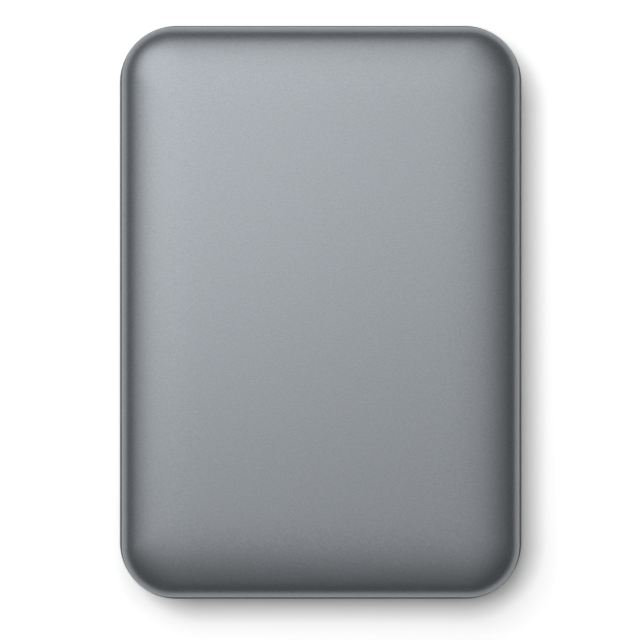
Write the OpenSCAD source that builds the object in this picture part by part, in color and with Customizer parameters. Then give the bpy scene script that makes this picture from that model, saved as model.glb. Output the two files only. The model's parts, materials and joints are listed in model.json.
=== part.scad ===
// Portable external hard drive: a two-piece moulded case with soft, rolled edges, holding a
// 2.5-inch disk drive in rubber corner boots and a small bridge board with its micro-B port.
// Millimetres, +Z up. The origin is the middle of the footprint, on the table.
// The port faces +Y, and the photographed face is the top of the cover.

/* [Case] */
// Room beside the disk drive, out to the base lip
side_room = 6.075; // [5.9:0.025:7]
// Room in front of the disk drive, out to the base lip
front_room = 5.3; // [5.1:0.05:7]
// Room behind the disk drive, out to the base lip
rear_room = 11.35; // [11.2:0.05:12]
// Overall height, feet included
case_h = 14.8; // [14.6:0.1:17]
// Corner radius of the base lip in plan
corner_r = 11.6; // [11.2:0.1:12]
// Wall thickness of both shells
wall = 1.5; // [1.3:0.05:1.6]
// Height of the base lip, where the parting groove starts
seam_z = 6.3; // [6.2:0.05:6.4]
// Open height of the parting groove
seam_gap = 0.3; // [0.2:0.05:0.4]
// How far the cover stands in from the base lip
reveal = 0.3; // [0.2:0.05:0.4]
// Width over which the cover rolls down to its rim
cover_roll = 10.4; // [9.8:0.1:10.8]
// How much larger the corner radius of the cover's rim is than its roll
corner_flat = 0.2; // [0.1:0.05:0.4]
// Width over which the base rolls under
base_roll = 5; // [4.6:0.1:5.2]

/* [Shell fit] */
// Height of the locating tongue above the lip
tongue_h = 2.2; // [2:0.1:2.3]
// Thickness of the locating tongue
tongue_t = 0.9; // [0.7:0.05:1]
// Depth of the ledge that carries the tongue
ledge_h = 1.6; // [1.2:0.1:2]
// Clearance between tongue and cover
tongue_fit = 0.1; // [0.08:0.02:0.16]
// Width of a snap hook
hook_w = 4; // [3:0.25:5]
// Height of a snap hook
hook_h = 0.6; // [0.5:0.05:0.7]
// Clearance round a snap hook in its window
hook_fit = 0.2; // [0.15:0.05:0.25]
// Distance of the inner pair of side hooks from the middle
hook_y1 = 18; // [14:0.5:21]
// Distance of the outer pair of side hooks from the middle
hook_y2 = 30; // [27:0.5:33]
// Distance of the front hooks from the middle
hook_x = 12; // [8:0.5:16]
// Thickness of the ribs under the cover
rib_t = 1; // [0.8:0.1:1.4]
// Distance between the two long ribs
rib_pitch = 36; // [28:1:44]
// Distance of the long ribs' ends from the base lip
rib_end = 17; // [14:0.5:22]
// Distance of the cross ribs' ends from the base lip
rib_side = 11; // [10:0.5:16]

/* [Feet] */
// Radius of a rubber foot
foot_r = 4; // [3:0.25:5]
// How far a foot stands out of the base
foot_proud = 0.5; // [0.4:0.05:0.6]
// Depth of the recess that a foot is glued into
foot_seat = 0.5; // [0.4:0.05:0.6]
// Clearance round a foot in its recess
foot_fit = 0.15; // [0.1:0.05:0.3]
// Distance of a foot from the case's side and end
foot_inset = 14; // [12:0.5:18]

/* [Drive envelope] */
// Room from the platter's edge to the drive's side
disk_room = 2.425; // [2.3:0.025:2.6]
// Distance from the arm's pivot to the drive's rear end
pivot_to_rear = 27.925; // [27.8:0.025:28.1]
// Thickness of the disk drive
drive_h = 7; // [7:0.05:7.2]
// Corner radius of the disk drive
drive_corner_r = 2.5; // [2:0.1:3]
// Thickness of rubber under the drive
boot_floor = 0.7; // [0.6:0.05:0.8]
// Height of the rubber beside the drive
boot_h = 5.6; // [4:0.1:6]
// Length of a corner boot along the drive's side
boot_side = 14; // [10:0.5:18]
// Length of a corner boot along the drive's end
boot_end = 8; // [6:0.25:8.5]
// How far a rear boot reaches behind the drive
boot_behind = 1.7; // [1.2:0.1:2]
// Clearance between a boot and the shell
boot_fit = 0.1; // [0.05:0.05:0.2]
// Thickness of the foam on top of the drive
foam_t = 1.5; // [1.2:0.1:1.8]
// Width of a foam strip
foam_w = 8; // [6:0.5:10]
// Distance of a foam strip's ends from the base lip
foam_side = 13; // [11:0.5:18]
// Distance of the front foam strip from the drive's front end
foam_front = 14; // [8:0.5:24]
// Distance of the rear foam strip from the drive's rear end
foam_rear = 28.1; // [22:0.1:34]

/* [Drive casting] */
// Thickness of the stamped drive cover
drive_cover_t = 0.6; // [0.5:0.05:0.7]
// Thickness of the gasket under the drive cover
gasket_t = 0.3; // [0.2:0.05:0.4]
// Depth of the board recess under the casting
board_recess = 1.8; // [1.75:0.05:1.85]
// Thickness of the casting's floor
floor_t = 0.6; // [0.55:0.05:0.65]
// Clearance between the platter's edge and its pocket
pocket_gap = 0.6; // [0.4:0.05:0.7]
// Width of the casting's wall to the right of the arm
cast_wall = 1.9; // [1.7:0.1:2.1]
// Width of the casting's wall to the left of the arm
cast_wall_left = 3.4; // [3:0.1:3.8]
// Thickness of the casting between the arm's bay and the connector
cast_wall_rear = 2.7; // [2.2:0.1:3.2]
// Distance behind the spindle at which the circuit board starts
board_front = 14; // [13:0.5:16]
// Distance of the circuit board's sides from the casting's
board_side = 1.7; // [1.6:0.1:2]
// Distance of the lid's corner screws from the sides
lid_screw_in = 3.7; // [3.4:0.1:4]
// Radius of the tapped side holes
side_hole_r = 1.25; // [1.2:0.05:1.3]
// Depth of the tapped side holes
side_hole_d = 1.5; // [1.2:0.1:1.6]
// Height of the side holes above the drive's underside
side_hole_z = 3; // [2.9:0.05:3.1]

/* [Disk and motor] */
// Radius of the platter
platter_r = 32.5; // [32.2:0.1:32.6]
// Radius of the platter's centre hole
platter_bore = 10; // [9.8:0.1:10.2]
// Thickness of the platter
platter_t = 0.8; // [0.7:0.05:0.85]
// Height of the platter's underside above the drive's underside
platter_z = 3.8; // [3.75:0.05:3.85]
// Radius of the spindle shaft
shaft_r = 1.5; // [1.3:0.1:1.6]
// Running clearance of the spindle shaft in its sleeve
shaft_fit = 0.03; // [0.02:0.01:0.05]
// Radius of the spindle sleeve
sleeve_r = 3.5; // [3.3:0.1:3.6]
// Thickness of the rotor magnet
rotor_magnet_t = 0.9; // [0.8:0.05:1]
// Number of stator teeth
teeth = 9; // [6:3:9]

/* [Head actuator] */
// Room between the platter's edge and the arm block
pivot_room = 3.115; // [3:0.005:3.3]
// Room between the voice coil and the casting's wall
coil_room = 1.325; // [1.2:0.025:1.6]
// How far a head falls short of the spindle's axis
head_short = 5.315; // [5.2:0.005:5.5]
// Distance of the parked heads from the platter's edge
park_gap = 3.1; // [3:0.1:3.4]
// Radius of the pivot shaft
pivot_r = 1.9; // [1.7:0.05:2]
// Radius of the pivot sleeve
pivot_sleeve_r = 4; // [3.8:0.1:4.2]
// Radius of the arm block round the pivot
block_r = 6.2; // [5.9:0.1:6.3]
// Thickness of an arm
arm_t = 0.45; // [0.4:0.05:0.5]
// Thickness of a suspension
suspension_t = 0.15; // [0.12:0.01:0.18]
// Thickness of a head slider
slider_t = 0.23; // [0.2:0.01:0.25]
// Thickness of the voice coil
coil_t = 0.8; // [0.7:0.05:0.9]
// Outer radius of the voice coil from the pivot
coil_r = 13.2; // [12.8:0.1:13.4]

/* [Bridge board] */
// Distance of the bridge board's left end from the drive's side
bridge_side = 5.425; // [5:0.025:6]
// How far the bridge board runs past its socket
bridge_over = 0.7; // [0.5:0.1:1]
// Distance of the bridge board's rear edge from the base lip
bridge_behind = 3.7; // [3.6:0.1:4]
// Gap between the disk drive and the bridge board beside the socket
bridge_ahead = 2.1; // [1.9:0.1:2.4]
// Thickness of the bridge board
bridge_t = 0.8; // [0.7:0.05:0.85]
// Gap between the bridge board and the base's floor
bridge_lift = 0.45; // [0.4:0.05:0.5]
// Distance of the micro-B port from the bridge board's left end
port_in = 8; // [7.5:0.25:8.5]
// Width of the micro-B port
port_w = 12.2; // [12:0.1:12.4]
// Height of the micro-B port
port_h = 2.3; // [2.2:0.05:2.4]
// Depth of the micro-B port
port_d = 6.6; // [6:0.1:7]
// Thickness of the port's steel shell
port_skin = 0.25; // [0.2:0.05:0.3]
// Clearance round the port in the case
port_fit = 0.2; // [0.15:0.05:0.25]
// Corner radius of the port's opening
port_corner_r = 0.5; // [0.3:0.1:0.7]
// How far the port stands in from the case's rear
port_inset = 1; // [0.9:0.05:1.2]
// Distance between the port and the status light
led_pitch = 14; // [12:0.25:15]
// Radius of the light pipe
pipe_r = 0.7; // [0.5:0.05:0.75]
// Clearance round the light pipe in the base
pipe_fit = 0.05; // [0.04:0.01:0.1]

/* [Connector] */
// Offset of the drive connector to the right of the middle
sata_x = 4.8; // [4.6:0.1:5]
// Height of the drive connector
sata_h = 3.6; // [3.5:0.05:3.7]
// Depth of the drive connector's cavities
sata_depth = 5.3; // [5:0.1:5.6]
// Contact pitch of the drive connector
sata_pitch = 1.27; // [1.2:0.01:1.3]
// Room beyond the contacts in each of the connector's cavities
cavity_end = 2.6; // [2.4:0.1:2.8]
// Height of the connector's cavities
cavity_h = 2.4; // [2.2:0.1:2.6]
// Thickness of the connector's tongues
tongue_thick = 1; // [0.9:0.05:1.1]
// Thickness of the wall between the connector's two cavities
key_t = 1.86; // [1.7:0.02:2]
// Thickness of the connector's end walls
sata_end = 1; // [0.8:0.1:1.2]
// Thickness of the connector's back
sata_back_t = 1.35; // [1.2:0.05:1.5]
// Clearance between plug and socket
sata_fit = 0.15; // [0.1:0.05:0.2]

/* [Hidden] */
$fn = 48;
// Overlap that lets fused pieces share volume
bite = 0.2;
// Points on each rolled edge
roll_steps = 16;
// Points on each inner curve of a rolled edge
inner_steps = 10;

// Disk drive, case and arm sizes that follow from the pieces inside them
drive_w = 2 * (platter_r + disk_room);
pivot_dx = drive_w / 2 - cast_wall - coil_r - coil_room;
pivot_gap = platter_r + block_r + pivot_room;
pivot_dy = sqrt(pow(pivot_gap, 2) - pow(pivot_dx, 2));
drive_l = drive_w / 2 + pivot_dy + pivot_to_rear;
case_w = drive_w + 2 * side_room;
case_l = drive_l + front_room + rear_room;
cover_corner_r = cover_roll + corner_flat;

// Case heights and outline
bottom_z = foot_proud;
floor_z = bottom_z + wall;
cover_z = seam_z + seam_gap;
cover_w = case_w - 2 * reveal;
cover_l = case_l - 2 * reveal;
cover_rise = case_h - cover_z;
ceiling_z = case_h - wall;
base_drop = seam_z - bottom_z;
// Inset of the cover's inner wall from its own outline, at height z
function cover_inner_inset(z) =
    cover_roll - (cover_roll - wall) * sqrt(1 - pow((z - cover_z) / (cover_rise - wall), 2));
tongue_top = seam_z + tongue_h;
tongue_in = reveal + cover_inner_inset(tongue_top) + tongue_fit;
ring_in = tongue_in + tongue_t;
hook_z = cover_z + 0.5;

// Drive placement: the local frame of the drive has its origin on the spindle
drive_z = floor_z + boot_floor;
drive_rear = case_l / 2 - rear_room;
drive_front = drive_rear - drive_l;
spindle_from_front = drive_w / 2;
spindle_y = drive_front + spindle_from_front;
front_y = -spindle_from_front;
rear_y = drive_l - spindle_from_front;
drive_top = drive_z + drive_h;
rib_z = drive_top + foam_t;

// Drive casting heights, above the drive's underside
cast_top = drive_h - drive_cover_t - gasket_t;
lid_z = cast_top + gasket_t;
well_z = board_recess + floor_t;
well_r = platter_r + pocket_gap;
bay_x = drive_w / 2 - cast_wall;
bay_left = cast_wall_left - drive_w / 2;
bay_rear = rear_y - sata_depth - sata_back_t - cast_wall_rear;
lid_inset = 0.3;
lid_screw_x = drive_w / 2 - lid_screw_in;
filter_y = platter_r - 11.5;
lid_screws = [
    [-lid_screw_x, front_y + lid_screw_in], [lid_screw_x, front_y + lid_screw_in],
    [-lid_screw_x, rear_y - lid_screw_in - 1.3], [lid_screw_x, rear_y - lid_screw_in - 1.3],
    [bay_left - cast_wall_left / 2, filter_y + 1], [pivot_dx, pivot_dy]
];
screw_head_r = 1.5;
screw_head_h = 0.35;
screw_r = 0.75;
screw_l = 2.6;
screw_fit = 0.06;

// Motor heights and radii, above the drive's underside
platter_top = platter_z + platter_t;
hub_r = platter_bore - 0.1;
hub_flange_r = platter_bore + 2;
hub_top = platter_top + 0.9;
hub_plate_t = 0.6;
hub_foot = well_z + 0.35;
cup_r = hub_r - 1.25;
sleeve_foot = 0.6;
sleeve_top = hub_top - hub_plate_t - 0.2;
stator_r = cup_r - rotor_magnet_t - 0.35;
stator_bore = sleeve_r + 0.05;
stator_z = well_z + 0.5;
stator_h = 1.6;
clamp_t = 0.4;

// Head actuator: angles are about the pivot, anticlockwise from +X
head_reach = pivot_gap - head_short;
park_radius = platter_r + park_gap;
to_spindle = 180 + atan2(pivot_dy, pivot_dx);
park_swing = acos(
    (pow(pivot_gap, 2) + pow(head_reach, 2) - pow(park_radius, 2)) / (2 * pivot_gap * head_reach)
);
park_angle = to_spindle - park_swing;
swing_range = 34;
coil_middle = park_angle - 180 + swing_range / 2;
platter_mid = platter_z + platter_t / 2;
arm_gap = platter_t / 2 + 0.55;
arm_low_top = platter_mid - arm_gap;
arm_high_bottom = platter_mid + arm_gap;
arm_low_bottom = arm_low_top - arm_t;
arm_high_top = arm_high_bottom + arm_t;
coil_z = platter_mid - coil_t / 2;
coil_half = 28;
coil_inner_r = 6.9;
magnet_gap = 0.25;
magnet_low_top = coil_z - magnet_gap;
magnet_high_bottom = coil_z + coil_t + magnet_gap;
yoke_low_top = well_z + 0.6;
yoke_high_bottom = magnet_high_bottom + 0.5;
yoke_t = 0.7;
yoke_inner_r = block_r + 0.8;
yoke_outer_r = min(coil_r + 0.8, bay_x - pivot_dx - 0.3);
yoke_start = coil_middle - 86;
yoke_end = coil_middle + 76;
yoke_post_r = 1.1;
yoke_posts = [[10, yoke_start + 8], [11, yoke_end - 9]];
tab_inner = head_reach + 1.1;
tab_outer = head_reach + 2.7;

// Drive connector, in the drive's local frame
sata_z = 1.1;
sata_back = rear_y - sata_depth - sata_back_t;
sata_mid = sata_z + sata_h / 2;
signal_contacts = 7;
power_contacts = 15;
signal_w = signal_contacts * sata_pitch + cavity_end;
power_w = power_contacts * sata_pitch + cavity_end;
sata_w = signal_w + power_w + key_t + 2 * sata_end;
signal_x = sata_x - sata_w / 2 + sata_end + signal_w / 2;
power_x = sata_x + sata_w / 2 - sata_end - power_w / 2;
cavities = [[signal_x, signal_w, signal_contacts], [power_x, power_w, power_contacts]];

// Bridge board placement
bridge_left = bridge_side - drive_w / 2;
bridge_right = sata_x + sata_w / 2 + bridge_over;
bridge_w = bridge_right - bridge_left;
port_x = -bridge_left - port_in;
led_x = port_x - led_pitch;
bridge_z = floor_z + bridge_lift;
bridge_top = bridge_z + bridge_t;
socket_gap = 0.1;
socket_body = 2.35;
bridge_front = drive_rear + bridge_ahead;
bridge_rear = case_l / 2 - bridge_behind;
port_y = case_l / 2 - port_inset - port_d;
bay_cut_left = bridge_left - 0.7;
bay_cut_right = bridge_left + bridge_w + 0.7;
bridge_post = [bridge_right - 2.7, bridge_rear - 2.5];
bridge_screw_l = bridge_t + bridge_lift + 0.35;
pipe_z = bridge_top + port_h / 2;
pipe_y = bridge_rear - 2.6;
pipe_inset = 0.5;
led_h = 0.4;
foil_z = floor_z + boot_floor + boot_h + 0.2;

// Rounded rectangle in plan, centred, w by l with corner radius r
module rounded_rect(w, l, r) {
    square([w - 2 * r, l], center = true);
    square([w, l - 2 * r], center = true);
    for (x = [-1, 1], y = [-1, 1])
        translate([x * (w / 2 - r), y * (l / 2 - r)])
            circle(r);
}

// Rounded plate standing on z
module rounded_plate(w, l, r, z, h) {
    translate([0, 0, z])
        linear_extrude(h)
            rounded_rect(w, l, r);
}

// Ring with the given section, carried round a rounded rectangle w by l with corner radius r.
// Section points are [inset from the outline, height].
module swept_ring(w, l, r, section) {
    for (side = [0, 1]) {
        across = side == 0 ? w : l;
        along = side == 0 ? l : w;
        for (flip = [0, 180])
            rotate([0, 0, side * 90 + flip])
                rotate([90, 0, 0])
                    translate([0, 0, r - along / 2])
                        linear_extrude(along - 2 * r)
                            polygon([for (p = section) [across / 2 - p[0], p[1]]]);
    }
    for (turn = [0 : 3]) {
        sx = turn == 0 || turn == 3 ? 1 : -1;
        sy = turn < 2 ? 1 : -1;
        translate([sx * (w / 2 - r), sy * (l / 2 - r), 0])
            rotate([0, 0, turn * 90])
                rotate_extrude(angle = 90)
                    polygon([for (p = section) [r - p[0], p[1]]]);
    }
}

// The same ring with its middle filled, for a section that ends at an inset of r
module swept_edge(w, l, r, section) {
    flat = [for (p = section) if (p[0] > r - 0.001) p[1]];
    swept_ring(w, l, r, section);
    translate([r - w / 2, r - l / 2, min(flat)])
        cube([w - 2 * r, l - 2 * r, max(flat) - min(flat)]);
}

// Quarter-ellipse edge: insets grow from start to roll while the height goes from z by rise
function rolled(roll, start, z, rise, steps) = [
    for (i = [0 : steps])
        let (t = 90 * i / steps)
        [roll - (roll - start) * cos(t), z + rise * sin(t)]
];

// Points in reverse order
function backwards(list) = [for (i = [len(list) - 1 : -1 : 0]) list[i]];

cover_section = concat(
    rolled(cover_roll, 0, cover_z, cover_rise, roll_steps),
    [[cover_corner_r, case_h], [cover_corner_r, ceiling_z]],
    backwards(rolled(cover_roll, wall, cover_z, cover_rise - wall, inner_steps))
);

base_section = concat(
    rolled(base_roll, 0, seam_z, -base_drop, roll_steps),
    [[corner_r, bottom_z], [corner_r, floor_z]],
    backwards(rolled(base_roll, wall, seam_z, wall - base_drop, inner_steps))
);

// Ledge inside the base's lip, with the locating tongue on it
tongue_section = [
    [wall / 2, seam_z - ledge_h], [ring_in, seam_z - ledge_h], [ring_in, tongue_top],
    [tongue_in, tongue_top], [tongue_in, seam_z], [wall / 2, seam_z]
];

// Room inside the base that a corner boot may fill
boot_room = concat(
    [[ring_in + boot_fit, seam_z + tongue_h]],
    [
        for (p = rolled(base_roll, wall + boot_fit, seam_z, wall - base_drop, inner_steps))
            [max(p[0], ring_in + boot_fit), p[1]]
    ],
    [[corner_r, floor_z], [corner_r, seam_z + tongue_h]]
);

// Opening in the base's rear wall for the micro-B port
module port_opening() {
    translate([-port_x, case_l / 2 + 5, bridge_top + port_h / 2])
        rotate([90, 0, 0])
            linear_extrude(10)
                rounded_rect(port_w + 2 * port_fit, port_h + 2 * port_fit, port_corner_r);
}

// Opening in the base's rear wall for the light pipe
module pipe_opening() {
    translate([-led_x, case_l / 2 + 5, pipe_z])
        rotate([90, 0, 0])
            cylinder(h = 10, r = pipe_r + pipe_fit);
}

// One snap hook at the middle of a wall that faces +X; grow widens it into its window
module snap_hook(grow) {
    reach = grow > 0 ? ring_in + 1 : tongue_in + tongue_t * 0.7;
    edge = grow > 0 ? tongue_in - 0.01 : reveal + wall / 2;
    translate([-reach, -hook_w / 2 - grow, hook_z - grow])
        cube([reach - edge, hook_w + 2 * grow, hook_h + 2 * grow]);
}

// Snap hooks along both sides and the front
module snap_hooks(grow = 0) {
    for (y = [-hook_y2, -hook_y1, hook_y1, hook_y2])
        for (flip = [0, 180])
            rotate([0, 0, flip])
                translate([case_w / 2, y, 0])
                    snap_hook(grow);
    for (x = [-hook_x, hook_x])
        translate([x, -case_l / 2, 0])
            rotate([0, 0, -90])
                snap_hook(grow);
}

// Ribs under the ceiling that press on the foam
module ceiling_ribs() {
    rib_h = ceiling_z - rib_z + bite;
    long = case_l - 2 * rib_end;
    cross = case_w - 2 * rib_side;
    for (x = [-rib_pitch / 2, rib_pitch / 2])
        translate([x - rib_t / 2, -long / 2, rib_z])
            cube([rib_t, long, rib_h]);
    for (y = foam_rows, dy = [-foam_w / 4, foam_w / 4])
        translate([-cross / 2, y + dy - rib_t / 2, rib_z])
            cube([cross, rib_t, rib_h]);
}

foam_rows = [drive_front + foam_front, drive_rear - foam_rear];

module top_cover() {
    color([0.6, 0.615, 0.63]) {
        swept_edge(cover_w, cover_l, cover_corner_r, cover_section);
        snap_hooks();
        ceiling_ribs();
    }
}

// Post and rest that carry the bridge board
module bridge_supports() {
    rest_w = 8;
    translate([bridge_post[0], bridge_post[1], floor_z - bite])
        cylinder(h = bridge_z - floor_z + bite, r = 1.9);
    translate([-port_x - rest_w / 2, bridge_front + 1, floor_z - bite])
        cube([rest_w, 2, bridge_z - floor_z + bite]);
}

module base_cover() {
    color([0.42, 0.43, 0.445])
    difference() {
        union() {
            swept_edge(case_w, case_l, corner_r, base_section);
            difference() {
                swept_ring(case_w, case_l, corner_r, tongue_section);
                snap_hooks(hook_fit);
                translate([bay_cut_left, case_l / 2 - wall - 10, floor_z])
                    cube([bay_cut_right - bay_cut_left, 10 + wall / 2, case_h]);
            }
            bridge_supports();
        }
        port_opening();
        pipe_opening();
        for (x = [-1, 1], y = [-1, 1])
            translate([x * (case_w / 2 - foot_inset), y * (case_l / 2 - foot_inset), -1])
                cylinder(h = 1 + bottom_z + foot_seat, r = foot_r + foot_fit);
        translate([bridge_post[0], bridge_post[1], floor_z - 0.4])
            cylinder(h = bridge_lift + 1, r = screw_r + screw_fit);
    }
}

// Rubber foot in its recess at the corner given by x and y signs
module foot(x, y) {
    edge = 0.3;
    color([0.12, 0.12, 0.125])
    translate([x * (case_w / 2 - foot_inset), y * (case_l / 2 - foot_inset), 0]) {
        cylinder(h = edge, r1 = foot_r - edge, r2 = foot_r);
        translate([0, 0, edge])
            cylinder(h = bottom_z + foot_seat - edge, r = foot_r);
    }
}

// Rubber boot round one corner of the drive
module boot(x, y) {
    beyond = 10;
    end_y = y > 0 ? drive_rear : drive_front;
    over = y > 0 ? boot_behind : beyond;
    color([0.16, 0.16, 0.17])
    difference() {
        intersection() {
            swept_edge(case_w, case_l, corner_r, boot_room);
            translate([
                x > 0 ? drive_w / 2 - boot_end : -drive_w / 2 - beyond,
                y > 0 ? end_y - boot_side : end_y - over,
                floor_z
            ])
                cube([boot_end + beyond, boot_side + over, boot_floor + boot_h]);
        }
        translate([0, (drive_front + drive_rear) / 2, 0])
            rounded_plate(drive_w, drive_l, drive_corner_r, drive_z, drive_h);
    }
}

// Foam strip between the drive and the cover's ribs, in row 0 or 1
module foam_pad(row) {
    length = case_w - 2 * foam_side;
    color([0.2, 0.2, 0.22])
    translate([-length / 2, foam_rows[row] - foam_w / 2, drive_top])
        cube([length, foam_w, foam_t]);
}

// Folded foil over the rear of the drive and the bridge board
module shield_foil() {
    foil_t = 0.12;
    y0 = drive_rear - 8;
    y1 = drive_rear - 0.2;
    y2 = drive_rear + 1;
    y3 = bridge_rear - 0.9;
    color([0.78, 0.79, 0.8])
    translate([bridge_left + 1, 0, 0])
        rotate([90, 0, 90])
            linear_extrude(bridge_w - 2)
                polygon([
                    [y0, drive_top], [y1, drive_top], [y2, foil_z], [y3, foil_z],
                    [y3, foil_z + foil_t], [y2 + 0.05, foil_z + foil_t],
                    [y1 + 0.05, drive_top + foil_t], [y0, drive_top + foil_t]
                ]);
}

// Places children in the drive's own frame, with the spindle on its axis
module in_drive() {
    translate([0, spindle_y, drive_z])
        children();
}

// Places children at the pivot, turned with the parked arm along +X
module on_arm() {
    in_drive()
        translate([pivot_dx, pivot_dy, 0])
            rotate([0, 0, park_angle])
                children();
}

// Ring sector about the origin, from angle a by sweep degrees, standing on z
module sector(r_in, r_out, a, sweep, z, h) {
    translate([0, 0, z])
        rotate([0, 0, a])
            rotate_extrude(angle = sweep)
                translate([r_in, 0])
                    square([r_out - r_in, h]);
}

// Block given by its low corner and size, in one call
module block(x, y, z, w, l, h) {
    translate([x, y, z])
        cube([w, l, h]);
}

// Screw with a low round head, its head's underside at z = 0, pointing down
module screw(head_r, head_h, r, length) {
    difference() {
        cylinder(h = head_h, r = head_r);
        translate([0, 0, head_h * 0.4])
            cylinder(h = head_h, r = head_r * 0.5, $fn = 6);
    }
    translate([0, 0, -length])
        cylinder(h = length + 0.01, r = r);
}

module bridge_board() {
    color([0.05, 0.28, 0.17])
    difference() {
        union() {
            block(bridge_left, bridge_front, bridge_z, bridge_w, bridge_rear - bridge_front, bridge_t);
            block(
                sata_x - sata_w / 2, drive_rear + 2 * socket_gap, bridge_z,
                sata_w, bridge_rear - drive_rear - 3 * socket_gap, bridge_t
            );
        }
        translate([bridge_post[0], bridge_post[1], bridge_z - 1])
            cylinder(h = 4, r = screw_r + screw_fit);
    }
}

module bridge_screw() {
    color([0.7, 0.7, 0.72])
    translate([bridge_post[0], bridge_post[1], bridge_top])
        screw(1.6, 0.7, screw_r, bridge_screw_l);
}

// Outline of the micro-B port: a wide half and a narrow half with a waist between
module port_outline(grow) {
    w = port_w + 2 * grow;
    h = port_h + 2 * grow;
    waist = 0.5;
    low = 1.1;
    notch_left = port_w * 0.13 + grow;
    notch_right = port_w * 0.13 + 1 - grow;
    polygon([
        [-w / 2 + low, -h / 2], [notch_left - 0.4, -h / 2], [notch_left, -h / 2 + waist],
        [notch_right - 0.4, -h / 2 + waist], [notch_right, -h / 2], [w / 2 - low * 0.5, -h / 2],
        [w / 2, -h / 2 + low * 0.5], [w / 2, h / 2], [-w / 2, h / 2], [-w / 2, -h / 2 + low]
    ]);
}

// Places children at the port, with the mouth at y = 0 facing +Y
module at_port() {
    translate([-port_x, case_l / 2 - port_inset, bridge_top + port_h / 2])
        children();
}

module usb_shell() {
    color([0.72, 0.73, 0.74])
    at_port()
        rotate([90, 0, 0])
            difference() {
                linear_extrude(port_d)
                    port_outline(0);
                translate([0, 0, -1])
                    linear_extrude(port_d + 0.6)
                        port_outline(-port_skin);
            }
}

// Tongues of the port, left and right
port_tongues = [[-port_w * 0.2, 4.6], [port_w * 0.32, 2.6]];

module usb_insulator() {
    back = 1.5;
    color([0.1, 0.1, 0.11])
    at_port()
        rotate([90, 0, 0]) {
            translate([0, 0, port_d - 0.4 - back])
                linear_extrude(back - 0.01)
                    port_outline(-port_skin - 0.02);
            for (t = port_tongues)
                block(t[0] - t[1] / 2, 0.15, 0.8, t[1], 0.6, port_d - 0.4 - back - 0.8 + bite);
        }
}

module usb_contacts() {
    color([0.83, 0.68, 0.36])
    at_port()
        rotate([90, 0, 0])
            for (t = port_tongues, i = [-2 : 2])
                block(t[0] + i * t[1] / 5.6 - t[1] / 24, 0.07, 1.1, t[1] / 12, 0.08, port_d - 3.2);
}

// Moulded chip: body of w by l by h with a small pin mark, its underside on z = 0
module chip(w, l, h) {
    difference() {
        translate([-w / 2, -l / 2, 0])
            cube([w, l, h]);
        translate([-w / 2 + 0.7, l / 2 - 0.7, h - 0.08])
            cylinder(h = 1, r = 0.3, $fn = 24);
    }
}

// Parts on the bridge board, in one row behind the socket
chip_row_y = bridge_rear - 2.1;
chip_x = 9 - led_x;
flash_x = chip_x + 8;
flash_w = 4.9;
flash_l = 2.6;
passive_x = flash_x + 3.9;
crystal_x = chip_x - 5.7;

module bridge_chip() {
    color([0.09, 0.09, 0.1])
    translate([chip_x, chip_row_y, bridge_top])
        chip(3.6, 3.4, 0.85);
}

module flash_chip() {
    color([0.11, 0.11, 0.12])
    translate([flash_x, chip_row_y, bridge_top + 0.1])
        chip(flash_w, flash_l, 1.3);
    color([0.75, 0.75, 0.76])
    for (i = [-1.5 : 1 : 1.5], s = [-1, 1])
        translate([flash_x + i * 1.27, chip_row_y + s * (flash_l / 2 + 0.2), bridge_top + 0.1])
            cube([0.4, 0.6, 0.2], center = true);
}

module bridge_passives() {
    color([0.72, 0.62, 0.48])
    for (i = [0 : 5])
        block(passive_x + 1.1 * (i % 3), chip_row_y - 1 + 1.6 * floor(i / 3), bridge_top, 0.5, 1, 0.5);
    color([0.8, 0.81, 0.82])
    block(crystal_x, chip_row_y - 1.2, bridge_top, 2, 2.5, 0.7);
}

module status_led() {
    color([0.95, 0.95, 0.9])
    translate([-led_x, pipe_y, bridge_top])
        translate([-0.8, -0.4, 0])
            cube([1.6, 0.8, led_h]);
}

module light_pipe() {
    foot_w = 1.8;
    foot_z = bridge_top + led_h + 0.05;
    color([0.85, 0.92, 0.95])
    translate([-led_x, 0, 0]) {
        block(-foot_w / 2, pipe_y - 0.8, foot_z, foot_w, 1.6, pipe_z + pipe_r - foot_z);
        translate([0, pipe_y, pipe_z])
            rotate([-90, 0, 0])
                cylinder(h = case_l / 2 - pipe_inset - pipe_y, r = pipe_r);
    }
}

// Plug on the drive: a housing with two open cavities and a tongue in each
module sata_plug() {
    tongue_l = sata_depth - 0.4;
    color([0.08, 0.08, 0.09])
    in_drive() {
        difference() {
            block(sata_x - sata_w / 2, sata_back, sata_z, sata_w, rear_y - sata_back, sata_h);
            for (c = cavities)
                block(c[0] - c[1] / 2, rear_y - sata_depth, sata_mid - cavity_h / 2, c[1], 10, cavity_h);
        }
        for (c = cavities)
            block(
                c[0] - c[1] / 2 + 0.6, rear_y - sata_depth - bite, sata_mid - tongue_thick / 2,
                c[1] - 1.2, tongue_l + bite, tongue_thick
            );
    }
}

module sata_contacts() {
    color([0.83, 0.68, 0.36])
    in_drive()
        for (c = cavities, i = [0 : c[2] - 1])
            block(
                c[0] + (i - (c[2] - 1) / 2) * sata_pitch - 0.4, rear_y - sata_depth + 0.2,
                sata_mid + tongue_thick / 2, 0.8, 4.2, 0.1
            );
}

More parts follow.
